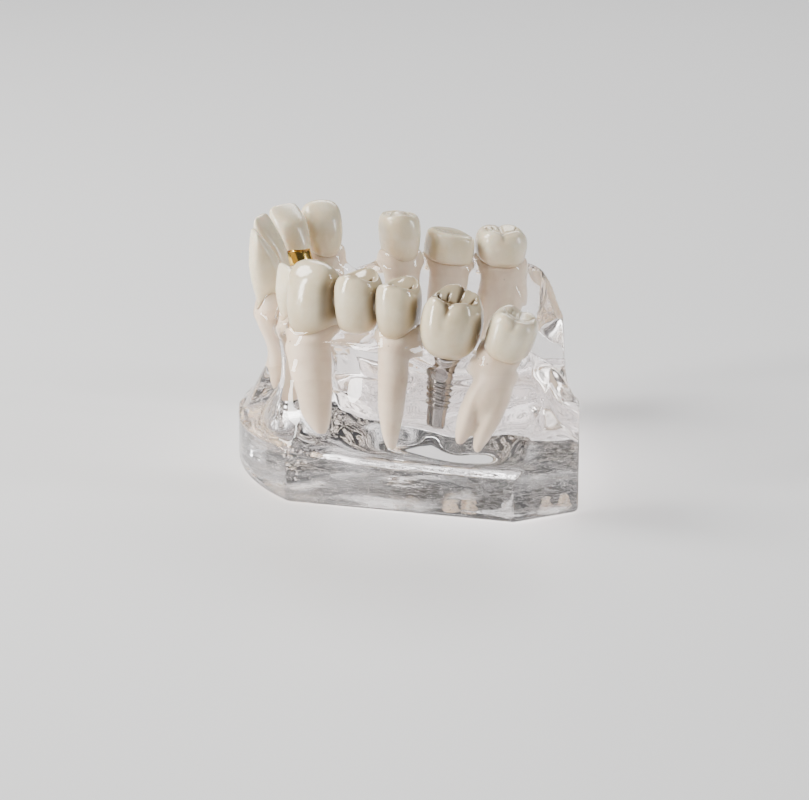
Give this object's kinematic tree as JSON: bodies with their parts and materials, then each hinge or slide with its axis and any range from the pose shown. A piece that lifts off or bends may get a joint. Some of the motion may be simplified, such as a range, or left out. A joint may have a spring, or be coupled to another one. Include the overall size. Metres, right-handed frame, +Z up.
{
  "type": "typodont model",
  "caption": "Clear lower-jaw teaching model with rooted resin teeth, a lift-off porcelain bridge, a pull-out implant with its crown, and a gold post and core.",
  "frame": {"origin": "on the table under the middle of the base", "axes": "+Z up, -Y towards the front teeth, +X towards the patient's left"},
  "size_m": [0.0686, 0.0536, 0.0391],
  "materials": {
    "clear_acrylic": "clear polished cast acrylic",
    "tooth_enamel": "glossy ivory resin",
    "tooth_root": "satin ivory resin",
    "porcelain": "glazed, with brown stain in the fissures and contacts",
    "implant_metal": "dark polished titanium",
    "dental_gold": "polished cast gold"
  },
  "bodies": {
    "jaw": {"clear_jaw_base": "clear_acrylic", "left_central_incisor_crown": "tooth_enamel", "left_central_incisor_root": "tooth_root", "left_lateral_incisor_crown": "tooth_enamel", "left_lateral_incisor_root": "tooth_root", "left_second_molar_crown": "tooth_enamel", "left_second_molar_root": "tooth_root", "right_central_incisor_crown": "tooth_enamel", "right_central_incisor_root": "tooth_root", "right_canine_crown": "tooth_enamel", "right_canine_root": "tooth_root", "right_second_premolar_crown": "tooth_enamel", "right_second_premolar_root": "tooth_root", "right_first_molar_crown": "tooth_enamel", "right_first_molar_root": "tooth_root", "right_second_molar_crown": "tooth_enamel", "right_second_molar_root": "tooth_root", "right_lateral_incisor_root": "tooth_root", "left_canine_abutment_root": "tooth_root", "left_second_premolar_abutment_root": "tooth_root"},
    "bridge": {"three_unit_bridge": "porcelain"},
    "implant": {"implant_fixture": "implant_metal", "implant_abutment": "implant_metal", "abutment_screw": "implant_metal"},
    "implant_cap": {"implant_crown": "porcelain"},
    "gold_post": {"gold_post_and_core": "dental_gold"},
    "incisor_cap": {"right_lateral_incisor_crown": "tooth_enamel"}
  },
  "joints": [
    {"name": "bridge_lift", "type": "slide", "parent": "jaw", "child": "bridge", "axis": [0, 0, 1], "range_m": [0, 0.012]},
    {"name": "implant_withdraw", "type": "slide", "parent": "jaw", "child": "implant", "axis": [0.0353, 0.1076, 0.9936], "range_m": [0, 0.013]},
    {"name": "implant_crown_lift", "type": "slide", "parent": "implant", "child": "implant_cap", "axis": [0.0353, 0.1076, 0.9936], "range_m": [0, 0.007]},
    {"name": "gold_post_withdraw", "type": "slide", "parent": "jaw", "child": "gold_post", "axis": [-0.32, -0.276, 0.9063], "range_m": [0, 0.01]},
    {"name": "incisor_crown_lift", "type": "slide", "parent": "gold_post", "child": "incisor_cap", "axis": [-0.32, -0.276, 0.9063], "range_m": [0, 0.006]}
  ]
}
